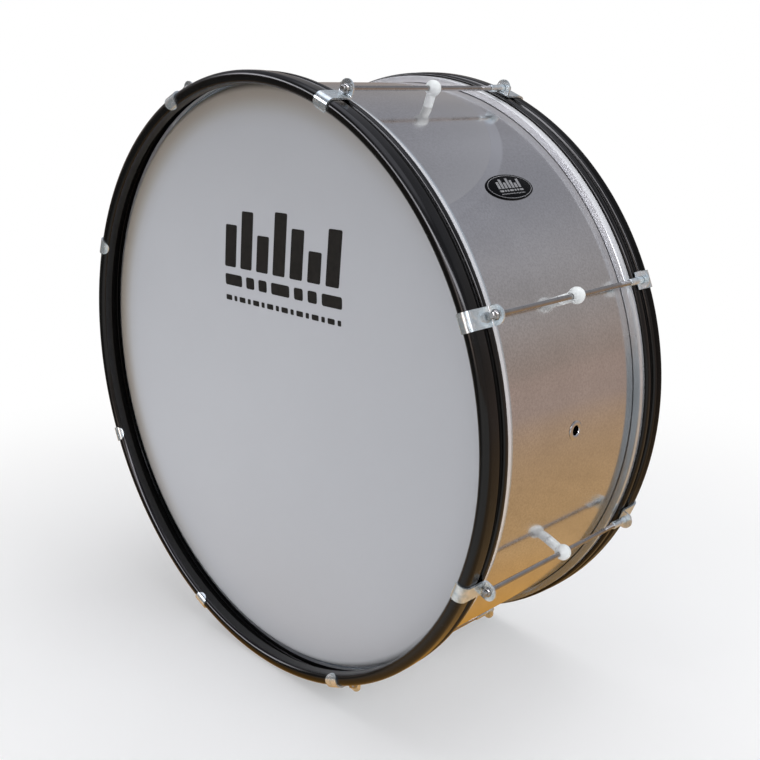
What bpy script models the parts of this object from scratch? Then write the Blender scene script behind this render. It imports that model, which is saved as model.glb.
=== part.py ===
"""Marching bass drum, 28 x 10 in class, with eight through tension rods.

The drum stands upright: its axis is Y, the front head faces -Y, and the origin is the
centre of the drum.  Every lug is built in its own frame, an empty turned about Y whose
local X points outwards along the lug's radius and whose local Y is the drum's axis.
"""
import math

import bmesh
import bpy

MM = 0.001

# Driving dimensions
HOOP_RADIUS = 368.5 * MM
HALF_DEPTH = 156.2 * MM
SHELL_RADIUS = 355.6 * MM
HEAD_PLANE = 128.6 * MM
ROD_CIRCLE = 376.6 * MM
LUG_COUNT = 8
FIRST_LUG_DEG = 22.5
GAP = 0.3 * MM

# A rolled edge or fold is made of flats whose normals turn through these angles
EDGE_FLATS_DEG = (90.0, 55.0, 20.0, 0.0)
FOLD_FLATS_DEG = (-180.0, -135.0, -90.0, -45.0, 0.0)
EAR_FLATS_DEG = (180.0, 135.0, 90.0)

# Round pieces are regular polygons whose flats, not corners, lie on the nominal radius
RING_SEGMENTS = 48
RING_TURN = math.pi / RING_SEGMENTS
FLAT_TO_CORNER = 1.0 / math.cos(RING_TURN)
SMALL_SEGMENTS = 12
MERGE = 0.00001

# Shell
SHELL_WALL = 2.0 * MM
EDGE_ROLL = 9.0 * MM
EDGE_LIP = 3.0 * MM
FILM = 0.5 * MM
FITTINGS_Y = 3.0 * MM
VENT_HOLE = 6.5 * MM
STAY_HOLE = 2.4 * MM

# Hoops: a rolled sheet section
HOOP_WALL = 2.0 * MM
HOOP_WIDTH = 33.3 * MM
HOOP_ROLL = 7.25 * MM
HOOP_RETURN = 15.5 * MM
HOOP_SHOULDER = 17.5 * MM
CHANNEL_DEPTH = 4.5 * MM
CHANNEL_START = 19.5 * MM
CHANNEL_END = 25.0 * MM
LIP_RADIUS = 367.0 * MM
LIP_START = 27.0 * MM
LIP_FLANGE_RADIUS = 361.0 * MM

# Flesh hoops: a channel that holds the edge of the film
FLESH_WALL = 1.4 * MM
FLESH_INNER = 356.0 * MM
FLESH_OUTER = 364.0 * MM
FLESH_BOTTOM = 112.0 * MM
FLESH_INNER_LIP = 116.3 * MM
COLLAR_END = 114.4 * MM

# Claws: a bent strip
CLAW_WIDTH = 20.0 * MM
CLAW_THICKNESS = 2.0 * MM
CLAW_TIP = 4.8 * MM
EAR_PLANE = 31.0 * MM
EAR_BEND = 2.0 * MM
ROUNDING_STEPS = 4

# Tension rods and barrel nuts
ROD_RADIUS = 2.75 * MM
ROD_HOLE = 3.3 * MM
COLLAR_RADIUS = 5.4 * MM
COLLAR_THICKNESS = 2.2 * MM
KEY_WIDTH = 6.35 * MM
KEY_LENGTH = 3.5 * MM
NUT_RADIUS = 4.1 * MM
NUT_BORE = 3.1 * MM
NUT_LENGTH = 25.0 * MM
NUT_HOLE = 4.6 * MM
NUT_HEAD = 9.0 * MM
NUT_RIM = 2.5 * MM
NUT_TIP_RADIUS = 3.8 * MM
NUT_BASE = 1.5 * MM

# Ball stays and their screws
BALL_RADIUS = 9.0 * MM
BALL_STEPS = 5
NECK_RADIUS = 5.4 * MM
BALL_BORE = 3.15 * MM
SOCKET_RADIUS = 2.35 * MM
SOCKET_DEPTH = 7.0 * MM
SCREW_RADIUS = 2.0 * MM
SCREW_REACH = 6.0 * MM
SCREW_HEAD_RADIUS = 4.0 * MM
SCREW_HEAD = 2.4 * MM

# Vent grommet and badge
GROMMET_FLANGE = 11.0 * MM
GROMMET_TUBE = 6.1 * MM
GROMMET_BORE = 5.4 * MM
GROMMET_LIP = 1.2 * MM
GROMMET_SEGMENTS = 16
BADGE_LENGTH = 74.0 * MM
BADGE_HEIGHT = 33.6 * MM
BADGE_THICKNESS = 0.8 * MM
BADGE_SEGMENTS = 24
BADGE_FLAT_DEG = 45.0
BADGE_DROP = 6.2 * MM

for old in list(bpy.data.objects):
    bpy.data.objects.remove(old, do_unlink=True)

drum = bpy.data.collections.new("bass_drum")
cutters = bpy.data.collections.new("cutters")
bpy.context.scene.collection.children.link(drum)
bpy.context.scene.collection.children.link(cutters)


def material(name, colour, roughness, metallic):
    """A Principled material with the piece's colour and finish."""
    made = bpy.data.materials.new(name)
    made.use_nodes = True
    shader = made.node_tree.nodes["Principled BSDF"]
    shader.inputs["Base Color"].default_value = (*colour, 1.0)
    shader.inputs["Roughness"].default_value = roughness
    shader.inputs["Metallic"].default_value = metallic
    return made


aluminium = material("brushed_aluminium", (0.62, 0.61, 0.60), 0.28, 1.0)
ring_metal = material("bright_aluminium", (0.75, 0.76, 0.77), 0.30, 1.0)
black_paint = material("black_paint", (0.012, 0.012, 0.012), 0.22, 0.0)
head_film = material("head_film", (0.42, 0.43, 0.45), 0.55, 0.0)
zinc = material("zinc_plate", (0.66, 0.70, 0.72), 0.25, 1.0)
chrome = material("chrome", (0.80, 0.80, 0.80), 0.12, 1.0)
white_plastic = material("white_plastic", (0.82, 0.83, 0.82), 0.35, 0.0)
badge_black = material("badge_black", (0.01, 0.01, 0.012), 0.25, 0.0)


def smooth(mesh, degrees=35.0):
    """Round surfaces shade smooth and real edges stay sharp."""
    mesh.shade_smooth()
    mesh.set_sharp_from_angle(angle=math.radians(degrees))


def profile_object(name, points):
    """An open polyline in the XZ plane, ready for a Screw modifier about Z."""
    mesh = bpy.data.meshes.new(name)
    edges = [(i, i + 1) for i in range(len(points) - 1)]
    mesh.from_pydata([(radius, 0.0, height) for radius, height in points], edges, [])
    return bpy.data.objects.new(name, mesh)


def add_screw(obj, segments):
    """Turn the profile once about Z and weld the seam and the points on the axis."""
    screw = obj.modifiers.new("turn", "SCREW")
    screw.axis = "Z"
    screw.angle = math.tau
    screw.steps = segments
    screw.render_steps = segments
    screw.use_merge_vertices = True
    screw.merge_threshold = MERGE
    weld = obj.modifiers.new("weld", "WELD")
    weld.merge_threshold = MERGE


def cut(obj, cutter):
    """Subtract a hidden cutter from a piece."""
    boolean = obj.modifiers.new("cut", "BOOLEAN")
    boolean.operation = "DIFFERENCE"
    boolean.solver = "EXACT"
    boolean.object = cutter


def hide_cutter(obj):
    """Cutters live in their own collection and are never rendered."""
    cutters.objects.link(obj)
    obj.hide_render = True
    obj.display_type = "WIRE"


def baked(obj):
    """The finished mesh of a modelled piece, with its modifiers applied."""
    scratch = bpy.context.scene.collection
    scratch.objects.link(obj)
    bpy.context.view_layer.update()
    graph = bpy.context.evaluated_depsgraph_get()
    mesh = bpy.data.meshes.new_from_object(obj.evaluated_get(graph))
    bpy.data.objects.remove(obj, do_unlink=True)
    smooth(mesh)
    return mesh


def place(name, mesh, finish, parent=None, location=(0.0, 0.0, 0.0), rotation=(0.0, 0.0, 0.0)):
    """One named object of the drum."""
    if not mesh.materials:
        mesh.materials.append(finish)
    obj = bpy.data.objects.new(name, mesh)
    obj.parent = parent
    obj.location = location
    obj.rotation_euler = rotation
    drum.objects.link(obj)
    return obj


def turned_sheet(name, path, wall, finish):
    """A sheet turned about the drum's axis from an open path of (radius, y) points."""
    corners = [(radius * FLAT_TO_CORNER, y) for radius, y in path]
    obj = profile_object(name, corners)
    add_screw(obj, RING_SEGMENTS)
    thicken = obj.modifiers.new("wall", "SOLIDIFY")
    thicken.thickness = wall
    thicken.offset = 0.0
    thicken.use_even_offset = True
    thicken.use_quality_normals = True
    mesh = baked(obj)
    return place(name, mesh, finish, rotation=(-math.pi / 2, RING_TURN, 0.0))


def turned_solid(name, profile, segments=SMALL_SEGMENTS):
    """A solid turned about Z, its profile running down the outer side."""
    obj = profile_object(name, profile)
    add_screw(obj, segments)
    return obj


def cylinder(name, radius, length, segments=SMALL_SEGMENTS):
    """A closed cylinder about Z, centred on the origin."""
    shape = bmesh.new()
    bmesh.ops.create_cone(
        shape, cap_ends=True, segments=segments, radius1=radius, radius2=radius, depth=length
    )
    mesh = bpy.data.meshes.new(name)
    shape.to_mesh(mesh)
    shape.free()
    return bpy.data.objects.new(name, mesh)


def arc(centre, radius, start, end, steps):
    """Points on an arc in the (radius, y) plane, both ends included."""
    angles = [start + (end - start) * i / steps for i in range(steps + 1)]
    return [
        (centre[0] + radius * math.cos(a), centre[1] + radius * math.sin(a)) for a in angles
    ]


def fold(centre, radius, flats_deg):
    """Corners of a bend made of flats that touch a circle, one flat facing each angle."""
    corners = []
    for a, b in zip(flats_deg, flats_deg[1:]):
        middle = math.radians((a + b) / 2)
        reach = radius / math.cos(math.radians((b - a) / 2))
        corners.append((centre[0] + reach * math.cos(middle), centre[1] + reach * math.sin(middle)))
    return corners


# ---------------------------------------------------------------- shell


def build_shell():
    """Aluminium sheet cylinder whose two edges are rolled inwards to carry the heads."""
    middle = SHELL_RADIUS - SHELL_WALL / 2
    edge_top = HEAD_PLANE - FILM - GAP - SHELL_WALL / 2
    roll = EDGE_ROLL - SHELL_WALL / 2
    centre = (middle - roll, edge_top - roll)
    rear = [(centre[0] - EDGE_LIP, edge_top)] + fold(centre, roll, EDGE_FLATS_DEG)
    front = [(radius, -y) for radius, y in reversed(rear)]
    shell = turned_sheet("shell", rear + front, SHELL_WALL, aluminium)
    wall = SHELL_RADIUS - SHELL_WALL / 2
    for k in range(LUG_COUNT):
        radial_cutter(shell, f"stay_hole_{k + 1}", STAY_HOLE, wall, lug_angle(k), SMALL_SEGMENTS)
    radial_cutter(shell, "vent_hole", VENT_HOLE, wall, 0.0, GROMMET_SEGMENTS)
    return shell


def lug_angle(k):
    """Angle of lug k about the drum's axis, from +X towards +Z."""
    return math.radians(FIRST_LUG_DEG + 360.0 / LUG_COUNT * k)


def radial_cutter(target, name, radius, reach, angle, segments):
    """Drill a radial hole through the shell's wall at the fittings' line."""
    drill = cylinder(name, radius, 5 * SHELL_WALL, segments)
    drill.location = (reach * math.cos(angle), FITTINGS_Y, reach * math.sin(angle))
    drill.rotation_euler = (0.0, math.pi / 2 - angle, 0.0)
    hide_cutter(drill)
    cut(target, drill)


# ---------------------------------------------------------------- heads and hoops


def build_head(name, side):
    """A film disc with a collar that runs down over the shell's edge into its flesh hoop."""
    roll = EDGE_ROLL + GAP + FILM / 2
    centre = (SHELL_RADIUS - EDGE_ROLL, HEAD_PLANE - FILM / 2 - roll)
    over_edge = fold(centre, roll, EDGE_FLATS_DEG[:-1])
    radius, y = over_edge[-1]
    slope = math.tan(math.radians(EDGE_FLATS_DEG[-2]))
    collar = (radius + (y - COLLAR_END) * slope, COLLAR_END)
    path = [(0.0, HEAD_PLANE - FILM / 2)] + over_edge + [collar]
    return turned_sheet(name, [(radius, side * y) for radius, y in path], FILM, head_film)


def build_flesh_hoop(name, side):
    """An aluminium channel, open towards the head, that grips the film's edge."""
    half = FLESH_WALL / 2
    top = HALF_DEPTH - HOOP_WIDTH - GAP
    path = [
        (FLESH_INNER + half, FLESH_INNER_LIP),
        (FLESH_INNER + half, FLESH_BOTTOM + half),
        (FLESH_OUTER - half, FLESH_BOTTOM + half),
        (FLESH_OUTER - half, top),
    ]
    return turned_sheet(name, [(radius, side * y) for radius, y in path], FLESH_WALL, ring_metal)


def build_hoop(name, side):
    """A rolled counter hoop: a front roll, a channel and a flanged lip on the flesh hoop."""
    half = HOOP_WALL / 2
    roll_centre = HOOP_RADIUS - HOOP_ROLL
    outer = HOOP_RADIUS - half
    inner = roll_centre - HOOP_ROLL + half
    floor = outer - CHANNEL_DEPTH
    back = HOOP_WIDTH - half
    section = [(inner, HOOP_RETURN)]
    section += fold((roll_centre, HOOP_ROLL), HOOP_ROLL - half, FOLD_FLATS_DEG)
    section += [
        (outer, HOOP_SHOULDER),
        (floor, CHANNEL_START),
        (floor, CHANNEL_END),
        (LIP_RADIUS, LIP_START),
        (LIP_RADIUS, back),
        (LIP_FLANGE_RADIUS, back),
    ]
    path = [(radius, side * (HALF_DEPTH - t)) for radius, t in section]
    return turned_sheet(name, path, HOOP_WALL, black_paint)


# ---------------------------------------------------------------- claws


def claw_path():
    """Corners of the claw's mid-surface, as (radius, distance behind the hoop's front)."""
    roll_centre = HOOP_RADIUS - HOOP_ROLL
    mid = HOOP_ROLL + GAP + CLAW_THICKNESS / 2
    bend_centre = (roll_centre + mid + EAR_BEND, EAR_PLANE - EAR_BEND)
    hook = fold((roll_centre, HOOP_ROLL), mid, FOLD_FLATS_DEG)
    bend = fold(bend_centre, EAR_BEND, EAR_FLATS_DEG)
    top = (ROD_CIRCLE + CLAW_WIDTH / 2, EAR_PLANE)
    return [(roll_centre - mid, CLAW_TIP)] + hook + bend + [top]


def path_stations(path):
    """Distance along the path of each of its corners."""
    stations = [0.0]
    for a, b in zip(path, path[1:]):
        stations.append(stations[-1] + math.dist(a, b))
    return stations


def point_at(path, stations, s):
    """The point of the path at distance s from its first corner."""
    for i in range(len(path) - 1):
        if s <= stations[i + 1] + MERGE:
            share = (s - stations[i]) / (stations[i + 1] - stations[i])
            a, b = path[i], path[i + 1]
            return (a[0] + share * (b[0] - a[0]), a[1] + share * (b[1] - a[1]))
    return path[-1]


def claw_rows():
    """Rows of the strip: (radius, distance behind the front, half width)."""
    path = claw_path()
    stations = path_stations(path)
    length = stations[-1]
    half = CLAW_WIDTH / 2
    rounding = [
        half * (1 - math.sin(math.radians(78.0) * i / ROUNDING_STEPS))
        for i in range(ROUNDING_STEPS + 1)
    ]
    places = set(stations[1:-1] + rounding + [length - d for d in rounding])
    rows = []
    for s in sorted(places):
        from_end = min(s, length - s, half)
        width = math.sqrt(half**2 - (half - from_end) ** 2)
        rows.append((*point_at(path, stations, s), width))
    return rows


def claw_mesh(name, side, hole_radius):
    """A punched strip bent round the hoop's roll, with a rounded ear drilled for the rod."""
    rows = claw_rows()
    last = len(rows) - 1
    blank = bmesh.new()
    bmesh.ops.create_grid(blank, x_segments=last, y_segments=1, size=1.0)
    for vertex in blank.verts:
        radius, behind, width = rows[round((vertex.co.x + 1.0) / 2.0 * last)]
        edge = width if vertex.co.y > 0.0 else -width
        vertex.co = (radius, side * (HALF_DEPTH - behind), edge)
    mesh = bpy.data.meshes.new(name)
    blank.to_mesh(mesh)
    blank.free()
    strip = bpy.data.objects.new(name, mesh)
    thicken = strip.modifiers.new("wall", "SOLIDIFY")
    thicken.thickness = CLAW_THICKNESS
    thicken.offset = 0.0
    thicken.use_even_offset = True
    drill = cylinder(name + "_hole", hole_radius, 4 * CLAW_THICKNESS, SMALL_SEGMENTS)
    drill.location = (ROD_CIRCLE, side * (HALF_DEPTH - EAR_PLANE), 0.0)
    drill.rotation_euler = (math.pi / 2, 0.0, 0.0)
    hide_cutter(drill)
    cut(strip, drill)
    return baked(strip)


# ---------------------------------------------------------------- rods, nuts and stays

EAR_FACE = HALF_DEPTH - EAR_PLANE + CLAW_THICKNESS / 2


def rod_mesh():
    """A rod about Z: threaded end up, collar and square key head down."""
    seat = -EAR_FACE - GAP
    collar_front = seat - COLLAR_THICKNESS
    end = EAR_FACE + GAP + NUT_HEAD - NUT_BASE - 2 * GAP
    profile = [
        (0.0, end),
        (ROD_RADIUS, end),
        (ROD_RADIUS, seat),
        (COLLAR_RADIUS, seat),
        (COLLAR_RADIUS, collar_front),
        (0.0, collar_front),
    ]
    rod = turned_solid("tension_rod", profile)
    key = bmesh.new()
    bmesh.ops.create_cube(key, size=1.0)
    overlap = COLLAR_THICKNESS / 2
    height = KEY_LENGTH + overlap
    bmesh.ops.scale(key, vec=(KEY_WIDTH, KEY_WIDTH, height), verts=key.verts)
    bmesh.ops.translate(
        key, vec=(0.0, 0.0, collar_front - KEY_LENGTH + height / 2), verts=key.verts
    )
    key_mesh = bpy.data.meshes.new("rod_key")
    key.to_mesh(key_mesh)
    key.free()
    head = bpy.data.objects.new("rod_key", key_mesh)
    hide_cutter(head)
    join = rod.modifiers.new("join", "BOOLEAN")
    join.operation = "UNION"
    join.solver = "EXACT"
    join.object = head
    return baked(rod)


def nut_mesh():
    """A barrel nut about Z: its tapered head up, a blind bore open at the bottom."""
    seat = EAR_FACE + GAP
    top = seat + NUT_HEAD
    mouth = HALF_DEPTH - EAR_PLANE - NUT_LENGTH
    profile = [
        (0.0, top),
        (NUT_TIP_RADIUS, top),
        (COLLAR_RADIUS, seat + NUT_RIM),
        (COLLAR_RADIUS, seat),
        (NUT_RADIUS, seat),
        (NUT_RADIUS, mouth),
        (NUT_BORE, mouth),
        (NUT_BORE, top - NUT_BASE),
        (0.0, top - NUT_BASE),
    ]
    return baked(turned_solid("barrel_nut", profile))


def stay_mesh():
    """A ball on a neck about Z, drilled across for the rod and from below for its screw."""
    foot = SHELL_RADIUS + GAP
    neck_angle = -math.acos(NECK_RADIUS / BALL_RADIUS)
    ball = arc((0.0, ROD_CIRCLE), BALL_RADIUS, math.pi / 2, neck_angle, BALL_STEPS)
    ball[0] = (0.0, ROD_CIRCLE + BALL_RADIUS)
    profile = ball + [
        (NECK_RADIUS, foot),
        (SOCKET_RADIUS, foot),
        (SOCKET_RADIUS, foot + SOCKET_DEPTH),
        (0.0, foot + SOCKET_DEPTH),
    ]
    stay = turned_solid("ball_stay", profile)
    drill = cylinder("ball_bore", BALL_BORE, 3 * BALL_RADIUS, SMALL_SEGMENTS)
    drill.location = (0.0, 0.0, ROD_CIRCLE)
    drill.rotation_euler = (math.pi / 2, 0.0, 0.0)
    hide_cutter(drill)
    cut(stay, drill)
    return baked(stay)


def screw_mesh():
    """A pan-head screw about Z, point up, that holds a stay from inside the shell."""
    seat = SHELL_RADIUS - SHELL_WALL - GAP
    point = SHELL_RADIUS + SCREW_REACH
    profile = [
        (0.0, point),
        (SCREW_RADIUS, point),
        (SCREW_RADIUS, seat),
        (SCREW_HEAD_RADIUS, seat),
        (0.8 * SCREW_HEAD_RADIUS, seat - SCREW_HEAD),
        (0.0, seat - SCREW_HEAD),
    ]
    return baked(turned_solid("stay_screw", profile))


def build_lugs():
    """Eight identical lugs, each on an empty turned to its angle."""
    front_claw = claw_mesh("front_claw", -1.0, ROD_HOLE)
    rear_claw = claw_mesh("rear_claw", 1.0, NUT_HOLE)
    rod = rod_mesh()
    nut = nut_mesh()
    stay = stay_mesh()
    screw = screw_mesh()
    along_axis = (-math.pi / 2, 0.0, 0.0)
    outwards = (0.0, math.pi / 2, 0.0)
    on_rod = (ROD_CIRCLE, 0.0, 0.0)
    at_fittings = (0.0, FITTINGS_Y, 0.0)
    for k in range(LUG_COUNT):
        lug = bpy.data.objects.new(f"lug_{k + 1}", None)
        lug.rotation_euler = (0.0, -lug_angle(k), 0.0)
        drum.objects.link(lug)
        place(f"front_claw_{k + 1}", front_claw, zinc, lug)
        place(f"rear_claw_{k + 1}", rear_claw, zinc, lug)
        place(f"tension_rod_{k + 1}", rod, zinc, lug, on_rod, along_axis)
        place(f"barrel_nut_{k + 1}", nut, zinc, lug, on_rod, along_axis)
        place(f"ball_stay_{k + 1}", stay, white_plastic, lug, at_fittings, outwards)
        place(f"stay_screw_{k + 1}", screw, zinc, lug, at_fittings, outwards)


# ---------------------------------------------------------------- vent grommet and badge


def build_grommet():
    """An eyelet through the shell, flanged outside and rolled over inside."""
    outer_face = SHELL_RADIUS + GAP
    inner_face = SHELL_RADIUS - SHELL_WALL - GAP
    profile = [
        (GROMMET_BORE, outer_face + GROMMET_LIP),
        (0.8 * GROMMET_FLANGE, outer_face + GROMMET_LIP),
        (GROMMET_FLANGE, outer_face),
        (GROMMET_TUBE, outer_face),
        (GROMMET_TUBE, inner_face),
        (0.9 * GROMMET_FLANGE, inner_face),
        (0.8 * GROMMET_FLANGE, inner_face - GROMMET_LIP),
        (GROMMET_BORE, inner_face - GROMMET_LIP),
        (GROMMET_BORE, outer_face + GROMMET_LIP),
    ]
    eyelet = turned_solid("vent_grommet", profile, GROMMET_SEGMENTS)
    place(
        "vent_grommet",
        baked(eyelet),
        chrome,
        location=(0.0, FITTINGS_Y, 0.0),
        rotation=(0.0, math.pi / 2, 0.0),
    )


def build_badge():
    """A thin oval plate stuck to one flat of the shell, a little below that flat's middle."""
    plate = cylinder("badge_plate", 1.0, 1.0, BADGE_SEGMENTS)
    mesh = plate.data
    for vertex in mesh.vertices:
        vertex.co.x *= BADGE_HEIGHT / 2
        vertex.co.y *= BADGE_LENGTH / 2
        vertex.co.z *= BADGE_THICKNESS
    bpy.data.objects.remove(plate, do_unlink=True)
    smooth(mesh)
    holder = bpy.data.objects.new("badge_place", None)
    holder.rotation_euler = (0.0, -math.radians(BADGE_FLAT_DEG), 0.0)
    drum.objects.link(holder)
    height = SHELL_RADIUS + GAP + BADGE_THICKNESS / 2
    place(
        "badge",
        mesh,
        badge_black,
        holder,
        (height, FITTINGS_Y, -BADGE_DROP),
        (0.0, math.pi / 2, 0.0),
    )


build_shell()
for end, side in (("front", -1.0), ("rear", 1.0)):
    build_head(f"{end}_head", side)
    build_flesh_hoop(f"{end}_flesh_hoop", side)
    build_hoop(f"{end}_hoop", side)
build_lugs()
build_grommet()
build_badge()
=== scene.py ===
"""Looks of the marching bass drum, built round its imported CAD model.

The drum's axis is Y, the front head faces -Y, and the origin is the drum's centre.  Lug
pieces are modelled in a lug's own frame (X outwards, Y along the drum's axis) and copied
round the drum.
"""
import math

import bmesh
import bpy
from mathutils import Matrix, Vector

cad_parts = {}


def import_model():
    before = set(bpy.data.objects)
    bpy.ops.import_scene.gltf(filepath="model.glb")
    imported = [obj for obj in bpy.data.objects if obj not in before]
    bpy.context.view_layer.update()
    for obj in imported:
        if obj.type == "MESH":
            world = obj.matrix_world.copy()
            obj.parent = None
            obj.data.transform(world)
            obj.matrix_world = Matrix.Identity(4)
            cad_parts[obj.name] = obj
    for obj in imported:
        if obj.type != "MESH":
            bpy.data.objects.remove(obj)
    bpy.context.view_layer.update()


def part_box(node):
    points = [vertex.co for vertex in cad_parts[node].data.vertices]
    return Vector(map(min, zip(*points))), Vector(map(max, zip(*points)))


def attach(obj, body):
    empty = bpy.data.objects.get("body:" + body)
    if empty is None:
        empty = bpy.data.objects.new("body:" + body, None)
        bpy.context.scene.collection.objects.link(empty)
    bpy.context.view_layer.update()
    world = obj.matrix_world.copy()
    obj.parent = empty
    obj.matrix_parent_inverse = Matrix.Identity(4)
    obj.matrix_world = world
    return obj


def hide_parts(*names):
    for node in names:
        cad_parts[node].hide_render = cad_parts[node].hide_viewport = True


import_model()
scene = bpy.context.scene

MM = 0.001

# Taken from the frame
hoop_low, hoop_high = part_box("front_hoop")
flesh_low, flesh_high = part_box("front_flesh_hoop")
rod_low, rod_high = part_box("tension_rod_1")
nut_low, nut_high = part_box("barrel_nut_1")
HALF_DEPTH = -hoop_low.y
HOOP_RADIUS = -hoop_low.z
HOOP_WIDTH = hoop_high.y - hoop_low.y
HEAD_PLANE = -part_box("front_head")[0].y
SHELL_RADIUS = -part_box("shell")[0].z
FLESH_RADIUS = -flesh_low.z
FLESH_LOW = -flesh_high.y

# Rings: each hoop's roll and wall, the film, the shell's wall and rolled edge
ROUND = 256
HOOP_ROLL = 7.25 * MM
WALL = 2.0 * MM
FILM = 0.5 * MM
EDGE_ROLL = 9.0 * MM
FLESH_GROOVE = 4.8 * MM

# Lugs: evenly spaced, all on one circle
LUG_ANGLE = [math.radians(22.5 + 45.0 * k) for k in range(8)]
ROD_CIRCLE = 376.6 * MM
FITTINGS_Y = 3.0 * MM
GAP = 0.3 * MM
STRIP = 2.0 * MM
CLAW_HALF = 10.0 * MM
EAR_PLANE = HALF_DEPTH - 31.0 * MM
EAR_FACE = EAR_PLANE + STRIP / 2
COLLAR_SEAT = -EAR_FACE - GAP
FRONT_BORE = 3.3 * MM
REAR_BORE = 4.5 * MM
ROD_RADIUS = 2.75 * MM
THREAD_PITCH = 25.4 * MM / 24
THREAD_DEPTH = 0.42 * MM
THREAD_LENGTH = 52.0 * MM
KEY_HALF = 3.175 * MM
BALL_RADIUS = 9.0 * MM
NECK_RADIUS = 5.4 * MM
BALL_BORE = 3.1 * MM
VENT_HOLE = 6.5 * MM
SCREW_HOLE = 2.4 * MM

# Badge and printed marks; their heights are above the surface that carries them
BADGE_ANGLE = math.radians(44.0)
BADGE_HALF = (37.0 * MM, 16.8 * MM)
BADGE_FACE = (0.3 * MM, 1.1 * MM)
BADGE_LINE = (1.12 * MM, 1.2 * MM)
INK = (0.02 * MM, 0.07 * MM)

# A curved mark wiped on the shell, where a sphere cuts it
WIPE_CENTRE = (142.3 * MM, -168.5 * MM, 495.9 * MM)
WIPE_RADIUS = 294.0 * MM

# What mirrors see of the floor, which glows with these tones as painted light: warm timber near the
# drum, darker right under it as a painted shadow, plain and dark parts further off
WARM_SHADOW_UNDER = (0.50, 0.25, 0.05)
WARM_NEAR = (0.62, 0.38, 0.165)
WARM_MIDDLE = (0.47, 0.30, 0.145)
WARM_FAR = (0.36, 0.275, 0.235)
PLAIN_FRONT = (0.55, 0.54, 0.53)
DARK = (0.09, 0.085, 0.08)

# What mirrors see of the room: its walls' tones, and the strengths of its bright parts
WALL_FOOT = (0.37, 0.295, 0.255)
WALL_MIDDLE = (0.285, 0.27, 0.27)
WALL_TOP = (0.255, 0.26, 0.29)
CEILING = 4.2
WINDOW_STRIP = 30.0
WINDOW_COLUMN = (4.0, 8.0)
SECOND_REFLECTION = 2.0

CAMERA_AT = (0.9207, -0.8270, 0.3447)
CAMERA_YAW = math.radians(46.119)
CAMERA_PITCH = math.radians(16.354)
CAMERA_ROLL = math.radians(0.206)
CAMERA_LENS = 46.57

# ------------------------------------------------------------------ mesh helpers


def rounded(points, radius, steps=4, closed=True):
    """A path whose corners are eased by short curves; a point may carry its own radius."""
    out = []
    count = len(points)
    for i, point in enumerate(points):
        here = Vector(point[:2])
        if not closed and i in (0, count - 1):
            out.append(tuple(here))
            continue
        before = Vector(points[i - 1][:2]) - here
        after = Vector(points[(i + 1) % count][:2]) - here
        ease = point[2] if len(point) > 2 else radius
        reach = min(ease, 0.49 * before.length, 0.49 * after.length)
        if reach < 1e-7:
            out.append(tuple(here))
            continue
        a = here + before.normalized() * reach
        b = here + after.normalized() * reach
        for j in range(steps + 1):
            t = j / steps
            out.append(tuple((1 - t) ** 2 * a + 2 * t * (1 - t) * here + t * t * b))
    return out


def arc(centre, radius, start, end, steps):
    """Points on an arc, angles in degrees."""
    points = []
    for i in range(steps + 1):
        a = math.radians(start + (end - start) * i / steps)
        points.append((centre[0] + radius * math.cos(a), centre[1] + radius * math.sin(a)))
    return points


def finish_mesh(shape, name, degrees=30.0):
    """A mesh from a bmesh: outward faces, smooth except across real edges."""
    bmesh.ops.recalc_face_normals(shape, faces=shape.faces)
    mesh = bpy.data.meshes.new(name)
    shape.to_mesh(mesh)
    shape.free()
    mesh.shade_smooth()
    mesh.set_sharp_from_angle(angle=math.radians(degrees))
    return mesh


def bridge(shape, one, two):
    """Faces between two closed loops of as many points."""
    count = len(one)
    for i in range(count):
        k = (i + 1) % count
        shape.faces.new((one[i], one[k], two[k], two[i]))


def lathe(name, profile, segments, axis="Y", closed=True, degrees=30.0):
    """A profile of (radius, height) turned about an axis; open profiles end on the axis."""
    shape = bmesh.new()
    rings = []
    for i in range(segments):
        a = math.tau * i / segments
        c, s = math.cos(a), math.sin(a)
        if axis == "Y":
            rings.append([shape.verts.new((r * c, h, r * s)) for r, h in profile])
        else:
            rings.append([shape.verts.new((h, r * c, r * s)) for r, h in profile])
    spans = len(profile) if closed else len(profile) - 1
    for i in range(segments):
        one, two = rings[i], rings[(i + 1) % segments]
        for j in range(spans):
            k = (j + 1) % len(profile)
            shape.faces.new((one[j], one[k], two[k], two[j]))
    if not closed:
        bmesh.ops.remove_doubles(shape, verts=shape.verts, dist=1e-7)
    return finish_mesh(shape, name, degrees)


def put(name, mesh, look, body, node, matrix=None):
    """A piece that stands for a CAD node and rides on its body."""
    if not mesh.materials:
        mesh.materials.append(look)
    piece = bpy.data.objects.new(name, mesh)
    scene.collection.objects.link(piece)
    if matrix is not None:
        piece.matrix_world = matrix
    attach(piece, body)
    if node:
        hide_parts(node)


def baked(mesh, modify, own_normals=False):
    """A mesh with modifiers applied; modify(obj) adds them to a scratch object."""
    scratch = bpy.data.objects.new(mesh.name + "_scratch", mesh)
    scene.collection.objects.link(scratch)
    extras = modify(scratch) or []
    bpy.context.view_layer.update()
    graph = bpy.context.evaluated_depsgraph_get()
    made = bpy.data.meshes.new_from_object(scratch.evaluated_get(graph))
    for item in [scratch] + extras:
        bpy.data.objects.remove(item, do_unlink=True)
    if not own_normals:
        made.shade_smooth()
        made.set_sharp_from_angle(angle=math.radians(35.0))
    return made


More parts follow.
